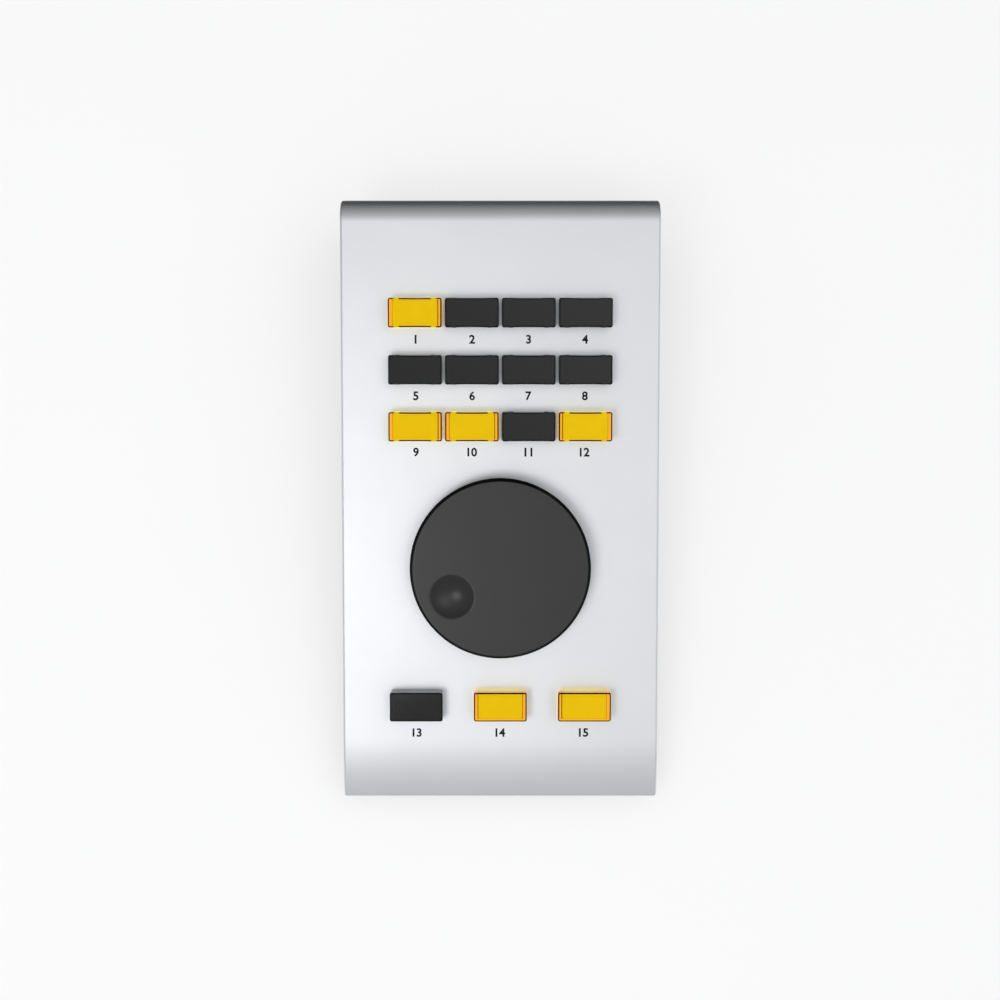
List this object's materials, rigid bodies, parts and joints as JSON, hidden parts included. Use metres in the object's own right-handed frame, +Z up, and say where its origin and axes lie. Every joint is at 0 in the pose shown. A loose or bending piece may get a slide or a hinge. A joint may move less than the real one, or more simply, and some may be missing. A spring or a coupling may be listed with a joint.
{
  "type": "desktop audio remote controller",
  "caption": "Sloping desktop remote for audio gear: bent aluminium panel with lit push keys and one large dial with a finger dimple, sockets in a recessed rear panel, on rubber feet.",
  "frame": {"origin": "on the desk, under the middle of the case", "axes": "+X to the right across the panel, +Y to the rear where the sockets are, +Z up"},
  "size_m": [0.108, 0.203, 0.0457],
  "materials": {
    "satin_aluminium": "fine bead-blasted, clear anodised",
    "black_steel": "fine black powder coat",
    "foot_rubber": "matt",
    "plain_aluminium": "as milled",
    "screw_steel": "black zinc",
    "switch_plastic": "moulded",
    "spring_steel": "bright",
    "lamp_resin": "clear resin",
    "dial_black": "soft matt black",
    "shaft_steel": "turned",
    "bush_brass": "turned",
    "board_laminate": "solder mask",
    "ribbon_grey": "flat flexible cable",
    "socket_metal": "bright nickel",
    "socket_plastic": "moulded",
    "amber_cap": "clear amber, lit from below",
    "smoke_cap": "clear smoke grey, unlit",
    "lit_guide": "milky light guide, lit",
    "dark_guide": "milky light guide behind smoke, unlit"
  },
  "bodies": {
    "case": {"top_cover": "satin_aluminium", "base_tray": "black_steel", "rear_panel": "black_steel", "rubber_feet": "foot_rubber", "cover_blocks": "plain_aluminium", "case_screws": "screw_steel", "switch_housings": "switch_plastic", "snap_domes": "spring_steel", "key_lamps": "lamp_resin", "encoder_bush": "bush_brass", "encoder_body": "switch_plastic", "encoder_washer": "shaft_steel", "encoder_nut": "bush_brass", "key_board": "board_laminate", "main_board": "board_laminate", "board_studs": "bush_brass", "board_screws": "screw_steel", "board_chips": "switch_plastic", "ribbon_cable": "ribbon_grey", "ribbon_sockets": "switch_plastic", "usb_shell": "socket_metal", "usb_insulator": "socket_plastic", "jack_body": "switch_plastic", "jack_sleeve": "socket_metal", "jack_nut": "socket_metal"},
    "dial": {"dial": "dial_black", "dial_set_screw": "screw_steel", "encoder_shaft": "shaft_steel", "encoder_code_disc": "switch_plastic"},
    "key_01": {"key_cap_01": "amber_cap", "key_plunger_01": "lit_guide"},
    "key_02": {"key_cap_02": "smoke_cap", "key_plunger_02": "dark_guide"},
    "key_03": {"key_cap_03": "smoke_cap", "key_plunger_03": "dark_guide"},
    "key_04": {"key_cap_04": "smoke_cap", "key_plunger_04": "dark_guide"},
    "key_05": {"key_cap_05": "smoke_cap", "key_plunger_05": "dark_guide"},
    "key_06": {"key_cap_06": "smoke_cap", "key_plunger_06": "dark_guide"},
    "key_07": {"key_cap_07": "smoke_cap", "key_plunger_07": "dark_guide"},
    "key_08": {"key_cap_08": "smoke_cap", "key_plunger_08": "dark_guide"},
    "key_09": {"key_cap_09": "amber_cap", "key_plunger_09": "lit_guide"},
    "key_10": {"key_cap_10": "amber_cap", "key_plunger_10": "lit_guide"},
    "key_11": {"key_cap_11": "smoke_cap", "key_plunger_11": "dark_guide"},
    "key_12": {"key_cap_12": "amber_cap", "key_plunger_12": "lit_guide"},
    "key_13": {"key_cap_13": "smoke_cap", "key_plunger_13": "dark_guide"},
    "key_14": {"key_cap_14": "amber_cap", "key_plunger_14": "lit_guide"},
    "key_15": {"key_cap_15": "amber_cap", "key_plunger_15": "lit_guide"}
  },
  "joints": [
    {"name": "dial_turn", "type": "hinge", "parent": "case", "child": "dial", "pos_m": [0, -0.02213, 0.02695], "axis": [0, -0.1392, 0.9903], "continuous": true},
    {"name": "key_01_press", "type": "slide", "parent": "case", "child": "key_01", "axis": [0, 0.1392, -0.9903], "range_m": [0, 0.001], "stiffness_N_per_m": 300, "springref_m": -0.002, "deforming": ["snap_domes"]},
    {"name": "key_02_press", "type": "slide", "parent": "case", "child": "key_02", "axis": [0, 0.1392, -0.9903], "range_m": [0, 0.001], "stiffness_N_per_m": 300, "springref_m": -0.002, "deforming": ["snap_domes"]},
    {"name": "key_03_press", "type": "slide", "parent": "case", "child": "key_03", "axis": [0, 0.1392, -0.9903], "range_m": [0, 0.001], "stiffness_N_per_m": 300, "springref_m": -0.002, "deforming": ["snap_domes"]},
    {"name": "key_04_press", "type": "slide", "parent": "case", "child": "key_04", "axis": [0, 0.1392, -0.9903], "range_m": [0, 0.001], "stiffness_N_per_m": 300, "springref_m": -0.002, "deforming": ["snap_domes"]},
    {"name": "key_05_press", "type": "slide", "parent": "case", "child": "key_05", "axis": [0, 0.1392, -0.9903], "range_m": [0, 0.001], "stiffness_N_per_m": 300, "springref_m": -0.002, "deforming": ["snap_domes"]},
    {"name": "key_06_press", "type": "slide", "parent": "case", "child": "key_06", "axis": [0, 0.1392, -0.9903], "range_m": [0, 0.001], "stiffness_N_per_m": 300, "springref_m": -0.002, "deforming": ["snap_domes"]},
    {"name": "key_07_press", "type": "slide", "parent": "case", "child": "key_07", "axis": [0, 0.1392, -0.9903], "range_m": [0, 0.001], "stiffness_N_per_m": 300, "springref_m": -0.002, "deforming": ["snap_domes"]},
    {"name": "key_08_press", "type": "slide", "parent": "case", "child": "key_08", "axis": [0, 0.1392, -0.9903], "range_m": [0, 0.001], "stiffness_N_per_m": 300, "springref_m": -0.002, "deforming": ["snap_domes"]},
    {"name": "key_09_press", "type": "slide", "parent": "case", "child": "key_09", "axis": [0, 0.1392, -0.9903], "range_m": [0, 0.001], "stiffness_N_per_m": 300, "springref_m": -0.002, "deforming": ["snap_domes"]},
    {"name": "key_10_press", "type": "slide", "parent": "case", "child": "key_10", "axis": [0, 0.1392, -0.9903], "range_m": [0, 0.001], "stiffness_N_per_m": 300, "springref_m": -0.002, "deforming": ["snap_domes"]},
    {"name": "key_11_press", "type": "slide", "parent": "case", "child": "key_11", "axis": [0, 0.1392, -0.9903], "range_m": [0, 0.001], "stiffness_N_per_m": 300, "springref_m": -0.002, "deforming": ["snap_domes"]},
    {"name": "key_12_press", "type": "slide", "parent": "case", "child": "key_12", "axis": [0, 0.1392, -0.9903], "range_m": [0, 0.001], "stiffness_N_per_m": 300, "springref_m": -0.002, "deforming": ["snap_domes"]},
    {"name": "key_13_press", "type": "slide", "parent": "case", "child": "key_13", "axis": [0, 0.1392, -0.9903], "range_m": [0, 0.001], "stiffness_N_per_m": 300, "springref_m": -0.002, "deforming": ["snap_domes"]},
    {"name": "key_14_press", "type": "slide", "parent": "case", "child": "key_14", "axis": [0, 0.1392, -0.9903], "range_m": [0, 0.001], "stiffness_N_per_m": 300, "springref_m": -0.002, "deforming": ["snap_domes"]},
    {"name": "key_15_press", "type": "slide", "parent": "case", "child": "key_15", "axis": [0, 0.1392, -0.9903], "range_m": [0, 0.001], "stiffness_N_per_m": 300, "springref_m": -0.002, "deforming": ["snap_domes"]}
  ]
}
